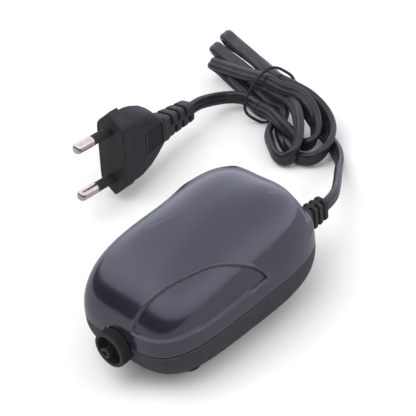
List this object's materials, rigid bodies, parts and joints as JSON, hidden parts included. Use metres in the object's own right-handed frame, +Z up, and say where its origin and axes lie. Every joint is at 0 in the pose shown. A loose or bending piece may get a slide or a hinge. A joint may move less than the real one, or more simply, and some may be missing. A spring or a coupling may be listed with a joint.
{
  "type": "aquarium air pump",
  "caption": "Small electromagnetic diaphragm air pump for an aquarium, with a glossy clamshell casing, turning outlet collar, rubber feet, mains cord folded in a tied hank and two-pin plug.",
  "frame": {"origin": "the middle of the casing's flat underside, on the outer face of the inlet cap, 2.6 mm above the floor the feet stand on", "axes": "+Z up; -Y towards the air outlet; +Y towards the cord exit; +X to the right seen from the rear"},
  "size_m": [0.127, 0.1667, 0.045],
  "materials": {
    "gloss_slate_shell": "high gloss dark slate moulding",
    "matte_charcoal_shell": "fine textured charcoal moulding",
    "black_rubber": "matte black rubber",
    "cord_pvc": "satin black cord jacket",
    "nylon_natural": "natural nylon moulding",
    "orange_rubber": "matte red-brown elastomer",
    "clear_vinyl": "flexible clear hose",
    "white_felt": "pressed white felt",
    "copper_wire": "enamelled copper winding",
    "coil_tape": "amber polyester tape",
    "laminated_steel": "stacked steel laminations",
    "zinc_steel": "zinc plated steel",
    "ferrite": "ground dark ferrite",
    "nickel_pin": "nickel plated brass"
  },
  "bodies": {
    "casing": {"top_cover": "gloss_slate_shell", "base_shell": "matte_charcoal_shell", "filter_cap": "matte_charcoal_shell", "outlet_nozzle": "matte_charcoal_shell", "plug_body": "matte_charcoal_shell", "foot_front_left": "black_rubber", "foot_front_right": "black_rubber", "foot_rear_left": "black_rubber", "foot_rear_right": "black_rubber", "outlet_o_ring": "black_rubber", "cord_boot": "black_rubber", "cord_tie": "black_rubber", "pin_sleeve_upper": "black_rubber", "pin_sleeve_lower": "black_rubber", "power_cord": "cord_pvc", "lead_wire_left": "cord_pvc", "lead_wire_right": "cord_pvc", "chamber_block": "nylon_natural", "valve_plate": "nylon_natural", "chamber_cup": "nylon_natural", "diaphragm_clamp": "nylon_natural", "coil_bobbin": "nylon_natural", "cord_clamp": "nylon_natural", "diaphragm": "orange_rubber", "pivot_bush": "orange_rubber", "splice_sleeve_left": "orange_rubber", "splice_sleeve_right": "orange_rubber", "outlet_hose": "clear_vinyl", "inlet_filter": "white_felt", "coil_winding": "copper_wire", "coil_tape": "coil_tape", "iron_core": "laminated_steel", "case_screw_front_left": "zinc_steel", "case_screw_front_right": "zinc_steel", "case_screw_rear_left": "zinc_steel", "case_screw_rear_right": "zinc_steel", "chamber_screw_front_low": "zinc_steel", "chamber_screw_front_high": "zinc_steel", "chamber_screw_rear_low": "zinc_steel", "chamber_screw_rear_high": "zinc_steel", "pivot_clip": "zinc_steel", "core_strap": "zinc_steel", "core_screw_left": "zinc_steel", "core_screw_right": "zinc_steel", "plug_pin_upper": "nickel_pin", "plug_pin_lower": "nickel_pin"},
    "knob": {"flow_knob": "black_rubber"},
    "arm": {"swing_arm": "nylon_natural", "diaphragm_plate": "zinc_steel", "diaphragm_boss": "nylon_natural", "diaphragm_screw": "zinc_steel", "magnet_holder": "nylon_natural", "magnet": "ferrite", "magnet_screw": "zinc_steel"},
    "intake_flap": {"intake_valve": "orange_rubber"},
    "exhaust_flap": {"exhaust_valve": "orange_rubber"}
  },
  "joints": [
    {"name": "knob_turn", "type": "hinge", "parent": "casing", "child": "knob", "pos_m": [0, -0.0425, 0.0116], "axis": [0, -1, 0], "range_deg": [0, 270]},
    {"name": "arm_swing", "type": "hinge", "parent": "casing", "child": "arm", "pos_m": [0.0055, -0.0304, 0.0184], "axis": [0, 0, 1], "range_deg": [-1.2, 1.2], "stiffness_Nm_per_rad": 0.3, "deforming": ["diaphragm"]},
    {"name": "intake_flap_open", "type": "hinge", "parent": "casing", "child": "intake_flap", "pos_m": [-0.007, -0.0165, 0.025], "axis": [0, -1, 0], "range_deg": [0, 14]},
    {"name": "exhaust_flap_open", "type": "hinge", "parent": "casing", "child": "exhaust_flap", "pos_m": [-0.0096, -0.0165, 0.0118], "axis": [0, -1, 0], "range_deg": [0, 14]}
  ]
}
